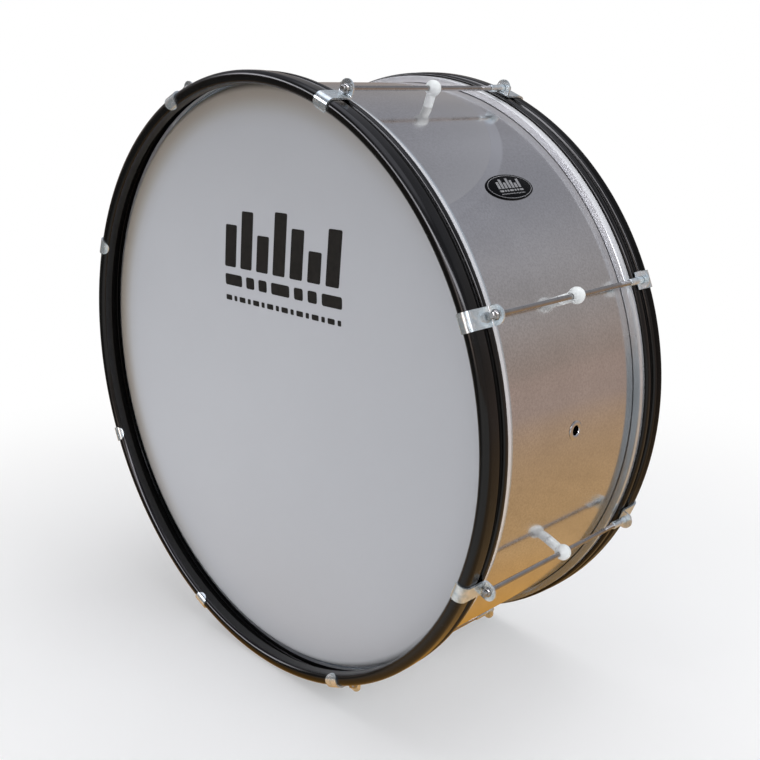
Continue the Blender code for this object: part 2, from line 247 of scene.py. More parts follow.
def drill(target, radius, length, matrix, segments=48):
    """Subtract a round hole."""
    shape = bmesh.new()
    bmesh.ops.create_cone(
        shape, cap_ends=True, segments=segments, radius1=radius, radius2=radius, depth=length
    )
    mesh = bpy.data.meshes.new("drill")
    shape.to_mesh(mesh)
    shape.free()
    tool = bpy.data.objects.new("drill", mesh)
    scene.collection.objects.link(tool)
    tool.matrix_world = matrix
    tool.hide_render = True
    cut = target.modifiers.new("cut", "BOOLEAN")
    cut.operation = "DIFFERENCE"
    cut.solver = "EXACT"
    cut.object = tool
    return tool


def bevel(target, width, segments=2):
    """Soften real edges."""
    soft = target.modifiers.new("soft", "BEVEL")
    soft.width = width
    soft.segments = segments
    soft.limit_method = "ANGLE"
    soft.angle_limit = math.radians(40.0)
    soft.harden_normals = False


def lug_matrix(angle):
    """From a lug's own frame to the drum's."""
    return Matrix.Rotation(-angle, 4, "Y")


# ------------------------------------------------------------------ materials


class Look:
    """A node material under construction."""

    def __init__(self, name):
        self.material = bpy.data.materials.new(name)
        self.material.use_nodes = True
        self.tree = self.material.node_tree
        self.shader = self.tree.nodes["Principled BSDF"]

    def node(self, kind, inputs=None, **settings):
        made = self.tree.nodes.new(kind)
        for key, value in settings.items():
            setattr(made, key, value)
        for key, value in (inputs or {}).items():
            self.feed(made.inputs[key], value)
        return made

    def feed(self, socket, value):
        if isinstance(value, bpy.types.NodeSocket):
            self.tree.links.new(value, socket)
        else:
            socket.default_value = value

    def set(self, **values):
        names = {
            "colour": "Base Color",
            "rough": "Roughness",
            "metal": "Metallic",
            "normal": "Normal",
            "specular": "Specular IOR Level",
        }
        for key, value in values.items():
            self.feed(self.shader.inputs[names[key]], value)

    def place(self, scale=(1.0, 1.0, 1.0)):
        """The piece's own coordinates; rings and shell have the drum's, lug pieces their lug's."""
        coords = self.node("ShaderNodeTexCoord").outputs["Object"]
        return self.node("ShaderNodeMapping", {"Vector": coords, "Scale": scale}).outputs[0]

    def axes(self):
        """The place's X, Y and Z, each on its own."""
        return self.node("ShaderNodeSeparateXYZ", {"Vector": self.place()}).outputs

    def noise(self, scale, detail=3.0, rough=0.5, stretch=(1.0, 1.0, 1.0), distort=0.0):
        return self.node(
            "ShaderNodeTexNoise",
            {
                "Vector": self.place(stretch),
                "Scale": scale,
                "Detail": detail,
                "Roughness": rough,
                "Distortion": distort,
            },
        ).outputs["Fac"]

    def math(self, operation, a, b=0.0):
        return self.node("ShaderNodeMath", {0: a, 1: b}, operation=operation).outputs[0]

    def times(self, a, b):
        return self.math("MULTIPLY", a, b)

    def plus(self, a, b):
        return self.math("ADD", a, b)

    def from_axis(self, axes):
        """Distance from the drum's axis."""
        across = self.times(axes["X"], axes["X"])
        upwards = self.times(axes["Z"], axes["Z"])
        return self.math("SQRT", self.plus(across, upwards))

    def span(self, value, low, high, to_low, to_high, smooth=False):
        """A value taken from one range to another, and held at its ends."""
        made = self.node(
            "ShaderNodeMapRange",
            {
                "Value": value,
                "From Min": low,
                "From Max": high,
                "To Min": to_low,
                "To Max": to_high,
            },
            interpolation_type="SMOOTHSTEP" if smooth else "LINEAR",
        )
        return made.outputs[0]

    def blend(self, value, low, high, a, b):
        """From colour a where a value is low to colour b where it is high."""
        return self.mix(self.span(value, low, high, 0.0, 1.0), a, b)

    def band(self, value, rise_low, rise_high, fall_low, fall_high):
        """1 between two slopes, 0 outside them."""
        rise = self.span(value, rise_low, rise_high, 0.0, 1.0)
        return self.times(rise, self.span(value, fall_low, fall_high, 1.0, 0.0))

    def layer(self, share, a, b):
        """Shader a with a share of shader b over it."""
        return self.node("ShaderNodeMixShader", {0: share, 1: a, 2: b}).outputs[0]

    def mix(self, share, a, b):
        """Colour a with a share of colour b over it."""
        made = self.node("ShaderNodeMix", data_type="RGBA")
        self.feed(made.inputs[0], share)
        self.feed(made.inputs[6], a)
        self.feed(made.inputs[7], b)
        return made.outputs[2]

    def bump(self, height, strength, distance, base=None):
        inputs = {"Height": height, "Strength": strength, "Distance": distance}
        if base is not None:
            inputs["Normal"] = base
        return self.node("ShaderNodeBump", inputs).outputs[0]

    def threads(self, scale, width, detail=2.0, distort=0.0):
        """Thin wandering lines: where a noise crosses its middle value."""
        field = self.noise(scale, detail, distort=distort)
        off = self.math("ABSOLUTE", self.math("SUBTRACT", field, 0.5))
        return self.span(off, 0.0, width, 1.0, 0.0)


def rgb(r, g, b):
    return (r, g, b, 1.0)


WHITE = rgb(1.0, 1.0, 1.0)


def shell_look():
    """Bright rolled aluminium: fine grain round the drum, smears, flecks and a wiped mark."""
    look = Look("brushed_aluminium_look")
    grain = look.noise(9.0, 4.0, 0.7, (14.0, 130.0, 14.0))
    fleck = look.noise(420.0, 2.0, 0.6)
    smear = look.noise(5.0, 4.0, 0.55, distort=0.8)
    blot = look.noise(17.0, 3.0, 0.6)
    wipe = look.times(look.threads(4.5, 0.03, 1.5, 0.5), look.span(blot, 0.4, 0.65, 0.0, 1.0))
    mark, rubbed = wiped_mark(look)

    colour = look.blend(blot, 0.35, 0.7, rgb(0.885, 0.88, 0.885), rgb(0.82, 0.815, 0.815))
    colour = look.mix(look.span(fleck, 0.38, 0.66, 0.0, 0.62), colour, rgb(0.66, 0.65, 0.65))
    colour = look.mix(look.span(smear, 0.40, 0.62, 0.22, 0.0), colour, rgb(0.60, 0.59, 0.585))
    colour = look.mix(look.times(wipe, 0.35), colour, rgb(0.92, 0.91, 0.90))
    colour = look.mix(look.times(rubbed, 0.8), colour, rgb(1.0, 0.99, 0.97))
    colour = look.mix(look.times(mark, 0.9), colour, rgb(0.97, 0.97, 0.98))

    rough = look.span(smear, 0.3, 0.7, 0.10, 0.17)
    rough = look.plus(rough, look.span(grain, 0.3, 0.7, -0.015, 0.02))
    rough = look.plus(rough, look.times(wipe, 0.06))
    height = look.plus(look.times(grain, 0.5), look.times(fleck, 0.5))
    fine = look.bump(height, 0.02, 0.0004)
    normal = look.bump(look.noise(2.6, 2.0), 0.25, 0.006, fine)
    look.set(colour=colour, rough=rough, metal=1.0, normal=normal)
    return look.material


def wiped_mark(look):
    """Shares of the mark's curved band and of the metal rubbed bright inside it."""
    distance = look.node(
        "ShaderNodeVectorMath", {0: look.place(), 1: WIPE_CENTRE}, operation="DISTANCE"
    ).outputs["Value"]
    edge = WIPE_RADIUS
    inside = look.span(distance, edge - 1.0 * MM, edge, 1.0, 0.0)
    rubbed = look.times(inside, look.span(distance, edge - 90.0 * MM, edge, 0.0, 1.0))
    band = look.band(distance, edge - 1.0 * MM, edge, edge + 11.0 * MM, edge + 14.0 * MM)
    toward_rear = look.span(look.axes()["Y"], -50.0 * MM, 30.0 * MM, 0.3, 1.0)
    return look.times(band, toward_rear), rubbed


def flesh_look():
    """Extruded aluminium ring: painted shade in a faint groove along it and at its foot, blue-grey
    painted shade low on it, bright on the side; the painted shade is left off the rear ring's top so
    that it reads as lit.
    """
    look = Look("bright_aluminium_look")
    grain = look.noise(9.0, 3.0, 0.7, (8.0, 260.0, 8.0))
    blot = look.noise(30.0, 3.0)
    axes = look.axes()
    rear = look.span(axes["Y"], -50.0 * MM, 50.0 * MM, 0.0, 1.0)
    upper = look.span(axes["Z"], 20.0 * MM, 200.0 * MM, 0.0, 1.0)
    rear_top = look.times(upper, rear)
    height = look.math("SUBTRACT", look.math("ABSOLUTE", axes["Y"]), FLESH_LOW)
    # Painted shade: blue-grey and darker up to 2 to 4.5 mm above the foot, left off the rear ring's
    # top so that it reads as lit
    unshaded_share = look.span(height, 2.0 * MM, 4.5 * MM, 0.0, 1.0, True)
    unshaded_share = look.math("MAXIMUM", unshaded_share, rear_top)
    # Painted shade: a dark line in the groove of the rear ring, and a dark foot except on the rear
    # ring's top
    off_groove = look.math("ABSOLUTE", look.math("SUBTRACT", height, FLESH_GROOVE))
    groove = look.times(look.span(off_groove, 0.2 * MM, 0.6 * MM, 0.25, 0.0), rear)
    foot = look.span(height, 0.7 * MM, 1.2 * MM, 0.5, 0.0)
    foot = look.times(foot, look.span(rear_top, 0.0, 1.0, 1.0, 0.0))

    bright = look.blend(blot, 0.3, 0.7, rgb(0.94, 0.95, 0.97), rgb(0.88, 0.89, 0.92))
    colour = look.mix(unshaded_share, rgb(0.70, 0.77, 0.83), bright)
    colour = look.mix(look.math("MAXIMUM", groove, foot), colour, rgb(0.07, 0.085, 0.10))
    rear_metal = look.span(look.times(upper, unshaded_share), 0.0, 1.0, 0.80, 0.30)
    front_metal = look.span(unshaded_share, 0.0, 1.0, 0.80, 0.48)
    look.set(
        colour=colour,
        rough=look.span(blot, 0.3, 0.7, 0.18, 0.22),
        metal=look.mix(rear, front_metal, rear_metal),
        normal=look.bump(grain, 0.03, 0.0003),
    )
    return look.material


def paint_look():
    """Gloss black paint on rolled metal: orange peel, faint dust, fine scuffs; the channel and the
    rear roll get less gloss, a painted shade.
    """
    look = Look("black_paint_look")
    peel = look.noise(260.0, 2.0, 0.5)
    dust = look.noise(34.0, 5.0, 0.65)
    scuffed = look.span(look.noise(11.0, 1.0), 0.52, 0.62, 0.0, 1.0)
    scuff = look.times(look.threads(26.0, 0.004, 1.0, 0.4), scuffed)
    axes = look.axes()
    radius = look.from_axis(axes)
    sunk = look.span(radius, HOOP_RADIUS - 4.4 * MM, HOOP_RADIUS - 2.4 * MM, 1.0, 0.0, True)
    inner = HALF_DEPTH - 16.5 * MM
    behind = look.span(look.math("ABSOLUTE", axes["Y"]), inner, inner + 1.0 * MM, 1.0, 0.0)
    groove = look.times(sunk, behind)
    rear_roll = look.span(axes["Y"], HALF_DEPTH - 17.0 * MM, HALF_DEPTH - 15.0 * MM, 0.0, 1.0)

    black, dusty = rgb(0.002, 0.002, 0.002), rgb(0.014, 0.014, 0.013)
    colour = look.mix(look.span(dust, 0.5, 0.8, 0.0, 0.15), black, dusty)
    colour = look.mix(look.times(scuff, 0.12), colour, rgb(0.06, 0.06, 0.06))
    rough = look.plus(look.span(dust, 0.3, 0.75, 0.11, 0.19), look.times(scuff, 0.10))
    # Painted shade: less specular in the channel and on the rear roll, so they reflect darker than
    # the same paint elsewhere
    gloss = look.times(
        look.span(groove, 0.0, 1.0, 0.5, 0.12), look.span(rear_roll, 0.0, 1.0, 1.0, 0.12)
    )
    look.set(
        colour=colour,
        rough=look.plus(rough, look.times(groove, 0.25)),
        specular=gloss,
        normal=look.bump(peel, 0.10, 0.0003),
    )
    return look.material


def film_look():
    """Coated polyester film: smooth and matte, with painted shade from the hoop next to the hoop and
    painted shade darkening it towards the top.
    """
    look = Look("head_film_look")
    cloud = look.noise(4.0, 3.0, 0.5)
    tooth = look.noise(1500.0, 2.0, 0.6)
    axes = look.axes()
    radius = look.from_axis(axes)
    # Painted shade from the hoop: a brown-grey ring next to the hoop, strongest at the top and left
    side = look.math("SUBTRACT", look.times(axes["Z"], 0.9), axes["X"])
    share = look.span(side, -150.0 * MM, 300.0 * MM, 0.0, 1.0)
    faint = look.times(look.span(radius, 300.0 * MM, 335.0 * MM, 0.0, 0.40, True), share)
    strong = look.times(look.span(radius, 318.0 * MM, 345.0 * MM, 0.0, 0.9, True), share)
    # Painted shade: the film darker towards the top
    high = look.span(axes["Z"], 150.0 * MM, 330.0 * MM, 0.0, 0.16, True)

    colour = look.blend(cloud, 0.3, 0.7, rgb(0.475, 0.485, 0.51), rgb(0.49, 0.50, 0.525))
    colour = look.mix(high, colour, rgb(0.37, 0.365, 0.365))
    colour = look.mix(faint, colour, rgb(0.36, 0.35, 0.33))
    colour = look.mix(strong, colour, rgb(0.32, 0.28, 0.235))
    look.set(
        colour=colour,
        rough=look.span(cloud, 0.3, 0.7, 0.42, 0.50),
        specular=0.35,
        normal=look.bump(tooth, 0.05, 0.0001),
    )
    return look.material


def zinc_look():
    """Zinc-plated pressed steel: cool and mottled, with near-white patches of painted highlight."""
    look = Look("zinc_plate_look")
    mottle = look.noise(90.0, 4.0, 0.6)
    tint = look.noise(22.0, 2.0)
    patch = look.noise(130.0, 2.0, 0.5, distort=0.6)
    colour = look.blend(tint, 0.35, 0.65, rgb(0.84, 0.93, 0.98), rgb(0.77, 0.85, 0.89))
    # Painted highlights: near-white patches; the darker patches below are mottle
    colour = look.mix(look.span(patch, 0.50, 0.64, 0.0, 0.8), colour, rgb(0.97, 1.0, 1.0))
    colour = look.mix(look.span(patch, 0.34, 0.46, 0.5, 0.0), colour, rgb(0.52, 0.60, 0.64))
    look.set(
        colour=colour,
        rough=look.span(mottle, 0.3, 0.7, 0.15, 0.20),
        metal=0.82,
        normal=look.bump(look.noise(260.0, 2.0), 0.02, 0.0003),
    )
    return look.material


def rod_look():
    """Plated rod steel, a shade darker than the claws."""
    look = Look("rod_steel_look")
    mottle = look.noise(120.0, 3.0, 0.6)
    look.set(
        colour=look.blend(mottle, 0.3, 0.7, rgb(0.55, 0.54, 0.53), rgb(0.46, 0.45, 0.44)),
        rough=look.span(mottle, 0.3, 0.7, 0.18, 0.30),
        metal=1.0,
        normal=look.bump(look.noise(900.0, 2.0), 0.08, 0.0002),
    )
    return look.material


def chrome_look():
    """Bright plate with faint tarnish."""
    look = Look("chrome_look")
    blot = look.noise(160.0, 3.0)
    look.set(
        colour=rgb(0.80, 0.80, 0.80),
        rough=look.span(blot, 0.3, 0.7, 0.07, 0.16),
        metal=1.0,
    )
    return look.material


def plastic_look():
    """Moulded white nylon: slightly waxy, faint flow marks."""
    look = Look("white_plastic_look")
    flow = look.noise(60.0, 3.0)
    look.set(
        colour=look.blend(flow, 0.3, 0.7, rgb(0.90, 0.93, 0.92), rgb(0.86, 0.89, 0.885)),
        rough=look.span(flow, 0.3, 0.7, 0.28, 0.40),
        normal=look.bump(look.noise(500.0, 2.0), 0.06, 0.0003),
    )
    return look.material


def badge_look():
    """Gloss black plate under a clear lacquer."""
    look = Look("badge_black_look")
    blot = look.noise(80.0, 3.0)
    look.set(
        colour=rgb(0.004, 0.004, 0.005),
        rough=look.span(blot, 0.3, 0.7, 0.22, 0.34),
        specular=0.04,
        normal=look.bump(look.noise(400.0, 2.0), 0.05, 0.0002),
    )
    return look.material


def ink_look():
    """Printed black ink on the film."""
    look = Look("print_ink_look")
    blot = look.noise(200.0, 3.0)
    look.set(
        colour=look.blend(blot, 0.3, 0.7, rgb(0.012, 0.011, 0.010), rgb(0.020, 0.018, 0.016)),
        rough=look.span(blot, 0.3, 0.7, 0.34, 0.45),
        specular=0.3,
    )
    return look.material


def silver_ink_look():
    """Silver screen print on the badge."""
    look = Look("badge_line_look")
    blot = look.noise(300.0, 3.0)
    look.set(
        colour=rgb(0.55, 0.55, 0.55),
        rough=look.span(blot, 0.3, 0.7, 0.30, 0.45),
        metal=0.8,
    )
    return look.material


aluminium = shell_look()
ring_metal = flesh_look()
black_paint = paint_look()
film = film_look()
zinc = zinc_look()
rod_steel = rod_look()
chrome = chrome_look()
white_plastic = plastic_look()
badge_black = badge_look()
ink = ink_look()
silver_ink = silver_ink_look()

# ------------------------------------------------------------------ rings


def mirrored(points, side):
    """A (radius, distance from the drum's middle) path put on the front or rear side."""
    return [(r, side * y) for r, y in points]


def hoop_profile():
    """Closed section of the rolled hoop: (radius, distance from the drum's middle)."""
    r = HOOP_RADIUS
    rim = HALF_DEPTH
    back = HALF_DEPTH - HOOP_WIDTH
    centre = (r - HOOP_ROLL, rim - HOOP_ROLL)
    outside = arc(centre, HOOP_ROLL, 180.0, 0.0, 28)
    inside = arc(centre, HOOP_ROLL - WALL, 0.0, 180.0, 20)
    sheet_out = [
        (r, rim - 18.2 * MM, 1.6 * MM),
        (r - 4.5 * MM, rim - 19.6 * MM, 1.2 * MM),
        (r - 4.5 * MM, rim - 25.2 * MM, 1.2 * MM),
        (r - 0.6 * MM, rim - 26.8 * MM, 1.4 * MM),
        (r - 0.6 * MM, back, 4.5 * MM),
        (r - 7.5 * MM, back, 0.5 * MM),
        (r - 7.5 * MM, back + WALL, 0.5 * MM),
        (r - 2.6 * MM, back + WALL, 1.0 * MM),
        (r - 2.6 * MM, rim - 27.8 * MM, 1.0 * MM),
        (r - 6.5 * MM, rim - 26.4 * MM, 1.0 * MM),
        (r - 6.5 * MM, rim - 18.4 * MM, 1.0 * MM),
        (r - 2.0 * MM, rim - 17.0 * MM, 1.0 * MM),
    ]
    returned = [
        (centre[0] - HOOP_ROLL + WALL, rim - 15.5 * MM, 0.8 * MM),
        (centre[0] - HOOP_ROLL, rim - 15.5 * MM, 0.8 * MM),
    ]
    corners = [(x, y, 0.0) for x, y in outside] + sheet_out
    corners += [(x, y, 0.0) for x, y in inside] + returned
    return rounded(corners, 1.0 * MM, 5)


def flesh_profile():
    """Closed section of the flesh hoop channel with its rolled outer edge."""
    top = HALF_DEPTH - HOOP_WIDTH - GAP
    outer = FLESH_RADIUS
    low = FLESH_LOW
    section = [
        (outer, top, 0.5 * MM),
        (outer, low, 1.5 * MM),
        (outer - 8.0 * MM, low, 0.8 * MM),
        (outer - 8.0 * MM, low + 4.3 * MM, 0.4 * MM),
        (outer - 6.6 * MM, low + 4.3 * MM, 0.4 * MM),
        (outer - 6.6 * MM, low + 1.4 * MM, 0.8 * MM),
        (outer - 1.6 * MM, low + 1.4 * MM, 0.8 * MM),
        (outer - 1.6 * MM, top, 0.4 * MM),
    ]
    return rounded(section, 0.5 * MM, 3)


def film_profile():
    """Closed section of a head: flat film, over the edge and down into the flesh hoop."""
    lean = 20.0
    roll = EDGE_ROLL + 0.8 * MM
    centre = (SHELL_RADIUS - EDGE_ROLL, HEAD_PLANE - roll)
    outer = arc(centre, roll, 90.0, lean, 14)
    inner = arc(centre, roll - FILM, lean, 90.0, 14)
    foot = 114.4 * MM
    spread = (outer[-1][1] - foot) * math.tan(math.radians(lean))
    end_out = (outer[-1][0] + spread, foot)
    end_in = (end_out[0] - FILM / math.cos(math.radians(lean)), foot)
    return [(0.0, HEAD_PLANE)] + outer + [end_out, end_in] + inner + [(0.0, HEAD_PLANE - FILM)]


def shell_profile():
    """Closed section of the shell wall with both edges rolled inwards."""
    top = HEAD_PLANE - 0.8 * MM
    centre = (SHELL_RADIUS - EDGE_ROLL, top - EDGE_ROLL)
    lip = centre[0] - 3.0 * MM
    rear = [(lip, top)] + arc(centre, EDGE_ROLL, 90.0, 0.0, 14)
    back = arc(centre, EDGE_ROLL - WALL, 0.0, 90.0, 12) + [(lip, top - WALL)]
    front = [(r, -y) for r, y in reversed(rear)]
    inner_front = [(r, -y) for r, y in [back[-1]] + list(reversed(back[:-1]))]
    middle = [(SHELL_RADIUS, y * MM) for y in (90.0, 60.0, 30.0, 0.0, -30.0, -60.0, -90.0)]
    inside = [(SHELL_RADIUS - WALL, y * MM) for y in (-90.0, -45.0, 0.0, 45.0, 90.0)]
    return rear + middle + front + inner_front + inside + back


for side, end, body in ((-1.0, "front", "front_rim"), (1.0, "rear", "rear_rim")):
    hoop = lathe(f"{end}_hoop_mesh", mirrored(hoop_profile(), side), ROUND)
    put(f"{end}_hoop_skin", hoop, black_paint, body, f"{end}_hoop")
    flesh = lathe(f"{end}_flesh_mesh", mirrored(flesh_profile(), side), ROUND)
    put(f"{end}_flesh_ring", flesh, ring_metal, body, f"{end}_flesh_hoop")
    head = lathe(f"{end}_film_mesh", mirrored(film_profile(), side), ROUND, closed=False)
    put(f"{end}_film", head, film, body, f"{end}_head")


def drill_shell(target):
    """The vent hole and the eight stay screws' holes."""
    tools = []
    wall = SHELL_RADIUS - WALL / 2
    spots = [(0.0, VENT_HOLE)] + [(a, SCREW_HOLE) for a in LUG_ANGLE]
    for angle, radius in spots:
        matrix = (
            lug_matrix(angle)
            @ Matrix.Translation((wall, FITTINGS_Y, 0.0))
            @ Matrix.Rotation(math.pi / 2, 4, "Y")
        )
        tools.append(drill(target, radius, 12.0 * MM, matrix, 32))
    return tools


shell_mesh = baked(lathe("shell_mesh", shell_profile(), ROUND), drill_shell)
put("shell_skin", shell_mesh, aluminium, "drum_shell", "shell")

# ------------------------------------------------------------------ lug pieces


def claw_rows():
    """Rows of the strip's mid-surface: (radius, distance from the middle, half width)."""
    mid = HOOP_ROLL + GAP + STRIP / 2
    centre = (HOOP_RADIUS - HOOP_ROLL, HALF_DEPTH - HOOP_ROLL)
    ease = 2.2 * MM
    corner = (centre[0] + mid + ease, EAR_PLANE + ease)
    path = arc(centre, mid, 163.0, 0.0, 24)
    path += arc(corner, ease, 180.0, 270.0, 8)
    path += [(ROD_CIRCLE + CLAW_HALF, EAR_PLANE)]
    stations = [0.0]
    for a, b in zip(path, path[1:]):
        stations.append(stations[-1] + math.dist(a, b))
    length = stations[-1]
    half = CLAW_HALF
    extra = []
    steps = 12
    for i in range(steps + 1):
        inset = half * (1.0 - math.sin(math.radians(86.0) * i / steps))
        extra += [inset, length - inset]
    places = sorted(set(round(s, 7) for s in stations[1:-1] + extra))
    rows = []
    for s in places:
        j = max(i for i in range(len(path) - 1) if stations[i] <= s + 1e-9)
        share = (s - stations[j]) / (stations[j + 1] - stations[j])
        x = path[j][0] + share * (path[j + 1][0] - path[j][0])
        y = path[j][1] + share * (path[j + 1][1] - path[j][1])
        from_end = min(s, length - s, half)
        rows.append((x, y, math.sqrt(max(half**2 - (half - from_end) ** 2, 0.0))))
    return rows


def claw(name, side, hole):
    """The bent strip with a rounded ear, its edges softened by tumbling."""
    rows = claw_rows()
    across = 8
    shape = bmesh.new()
    grid = []
    for x, y, width in rows:
        line = []
        for j in range(across + 1):
            line.append(shape.verts.new((x, side * y, width * (2.0 * j / across - 1.0))))
        grid.append(line)
    for one, two in zip(grid, grid[1:]):
        for j in range(across):
            shape.faces.new((one[j], one[j + 1], two[j + 1], two[j]))
    mesh = finish_mesh(shape, name)

    def shaped(target):
        thick = target.modifiers.new("wall", "SOLIDIFY")
        thick.thickness = STRIP
        thick.offset = 0.0
        thick.use_even_offset = True
        tool = drill(target, hole, 4 * STRIP, across_rod(side * EAR_PLANE), 32)
        bevel(target, 0.45 * MM, 3)
        even = target.modifiers.new("even", "WEIGHTED_NORMAL")
        even.keep_sharp = True
        return [tool]

    return baked(mesh, shaped, own_normals=True)


def across_rod(y):
    """From a cylinder along Z to one along the rod, at a place on the rod."""
    return Matrix.Translation((ROD_CIRCLE, y, 0.0)) @ Matrix.Rotation(math.pi / 2, 4, "X")


def rod_stem():
    """The through rod, threaded at its rear end."""
    end = rod_high.y
    start = end - THREAD_LENGTH
    segments = 24
    shape = bmesh.new()
    rings = []
    heights = [COLLAR_SEAT - 0.5 * MM, COLLAR_SEAT, COLLAR_SEAT + 40.0 * MM, -20.0 * MM, 20.0 * MM]
    count = int(THREAD_LENGTH / THREAD_PITCH * 6)
    heights += [start + THREAD_LENGTH * i / count for i in range(count + 1)]
    for y in heights:
        ring = []
        for i in range(segments):
            a = math.tau * i / segments
            r = ROD_RADIUS
            if y > start:
                phase = ((y - start) / THREAD_PITCH + i / segments) % 1.0
                run_out = min((y - start) / (2 * THREAD_PITCH), (end - y) / THREAD_PITCH + 0.2)
                r -= THREAD_DEPTH * abs(2.0 * phase - 1.0) * min(1.0, run_out)
            ring.append(shape.verts.new((r * math.cos(a), y, r * math.sin(a))))
        rings.append(ring)
    for one, two in zip(rings, rings[1:]):
        bridge(shape, one, two)
    shape.faces.new(rings[0])
    shape.faces.new(rings[-1])
    return finish_mesh(shape, "rod_stem", 50.0)


def rod_collar():
    """The rod's collar, domed towards the key."""
    seat = COLLAR_SEAT
    section = [
        (0.0, seat),
        (5.4 * MM, seat, 0.3 * MM),
        (5.4 * MM, seat - 0.9 * MM, 0.7 * MM),
        (4.3 * MM, seat - 2.2 * MM, 0.9 * MM),
        (0.0, seat - 2.2 * MM),
    ]
    return lathe("collar", rounded(section, 0.3 * MM, 5, False), 40, closed=False, degrees=40.0)


def rod_key():
    """The square key head, its front edges chamfered."""
    front = rod_low.y
    shape = bmesh.new()
    loops = []
    for y, grow in ((-EAR_FACE - 2.0 * MM, 1.0), (front + 0.8 * MM, 1.0), (front, 0.78)):
        corner = KEY_HALF * grow
        square = [(-corner, -corner), (corner, -corner), (corner, corner), (-corner, corner)]
        loops.append([shape.verts.new((x, y, z)) for x, z in rounded(square, 0.5 * MM, 3)])
    for one, two in zip(loops, loops[1:]):
        bridge(shape, one, two)
    shape.faces.new(loops[0])
    shape.faces.new(loops[-1])
    return finish_mesh(shape, "key")


def joined(name, meshes):
    """Several closed meshes as one."""
    shape = bmesh.new()
    for mesh in meshes:
        shape.from_mesh(mesh)
    made = bpy.data.meshes.new(name)
    shape.to_mesh(made)
    shape.free()
    made.shade_smooth()
    made.set_sharp_from_angle(angle=math.radians(40.0))
    return made


def nut():
    """Barrel nut: a plain sleeve with a tapered head behind the ear."""
    seat = EAR_FACE + GAP
    top = nut_high.y
    mouth = nut_low.y
    section = [
        (0.0, top),
        (3.8 * MM, top, 1.0 * MM),
        (5.3 * MM, seat + 2.5 * MM, 0.8 * MM),
        (5.3 * MM, seat, 0.3 * MM),
        (4.1 * MM, seat, 0.2 * MM),
        (4.1 * MM, mouth + 1.0 * MM, 0.5 * MM),
        (3.6 * MM, mouth, 0.2 * MM),
        (2.95 * MM, mouth, 0.2 * MM),
        (2.95 * MM, top - 1.5 * MM, 0.2 * MM),
        (0.0, top - 1.5 * MM),
    ]
    return lathe("nut", rounded(section, 0.3 * MM, 5, False), 36, closed=False, degrees=40.0)


def stay():
    """Ball stay about its own axis: a ball on a straight neck that stands on the shell."""
    foot = SHELL_RADIUS + 0.05 * MM
    join = -math.degrees(math.acos(NECK_RADIUS / BALL_RADIUS))
    under_ball = ROD_CIRCLE + BALL_RADIUS * math.sin(math.radians(join))
    section = [(0.0, ROD_CIRCLE + BALL_RADIUS)]
    section += arc((0.0, ROD_CIRCLE), BALL_RADIUS, 88.0, join - 2.0, 24)
    tail = [
        (NECK_RADIUS, under_ball - 1.2 * MM, 1.0 * MM),
        (NECK_RADIUS, foot, 0.3 * MM),
        (2.35 * MM, foot, 0.2 * MM),
        (2.35 * MM, foot + 7.0 * MM, 0.2 * MM),
        (0.0, foot + 7.0 * MM),
    ]
    path = [(x, y, 0.0) for x, y in section] + tail
    mesh = lathe("stay", rounded(path, 0.3 * MM, 5, False), 40, axis="X", closed=False)

    def bored(target):
        return [drill(target, BALL_BORE, 30.0 * MM, across_rod(0.0), 24)]

    return baked(mesh, bored)


def screw():
    """Pan-head screw, point outwards, about its own axis."""
    seat = SHELL_RADIUS - WALL - GAP
    point = SHELL_RADIUS + 6.0 * MM
    section = [
        (0.0, point),
        (1.2 * MM, point, 0.3 * MM),
        (2.0 * MM, point - 1.2 * MM, 0.3 * MM),
        (2.0 * MM, seat, 0.1 * MM),
        (4.0 * MM, seat, 0.4 * MM),
        (3.7 * MM, seat - 1.6 * MM, 0.8 * MM),
        (2.0 * MM, seat - 2.4 * MM, 0.8 * MM),
        (0.0, seat - 2.4 * MM),
    ]
    return lathe("screw", rounded(section, 0.3 * MM, 4, False), 28, axis="X", closed=False)


front_claw = claw("front_claw_strip", -1.0, FRONT_BORE)
rear_claw = claw("rear_claw_strip", 1.0, REAR_BORE)
rod_mesh = joined("rod_mesh", [rod_stem(), rod_collar(), rod_key()])
nut_mesh = nut()
stay_mesh = stay()
screw_mesh = screw()
on_rod = Matrix.Translation((ROD_CIRCLE, 0.0, 0.0))
at_fittings = Matrix.Translation((0.0, FITTINGS_Y, 0.0))
pieces = (
    ("front_claw_skin", front_claw, zinc, "front_rim", "front_claw", "zinc_plate", Matrix()),
    ("rear_claw_skin", rear_claw, zinc, "rear_rim", "rear_claw", "zinc_plate", Matrix()),
    ("rod_skin", rod_mesh, rod_steel, "rod", "tension_rod", "zinc_plate", on_rod),
    ("nut_skin", nut_mesh, zinc, "rear_rim", "barrel_nut", "zinc_plate", on_rod),
    ("stay_skin", stay_mesh, white_plastic, "drum_shell", "ball_stay", "white_plastic", at_fittings),
    ("screw_skin", screw_mesh, zinc, "drum_shell", "stay_screw", "zinc_plate", at_fittings),
)
for k, angle in enumerate(LUG_ANGLE, start=1):
    for name, mesh, look, body, node, slot, place in pieces:
        rides_on = f"rod_{k}" if body == "rod" else body
        put(f"{name}_{k}", mesh, look, rides_on, f"{node}_{k}", lug_matrix(angle) @ place)

# ------------------------------------------------------------------ vent and badge


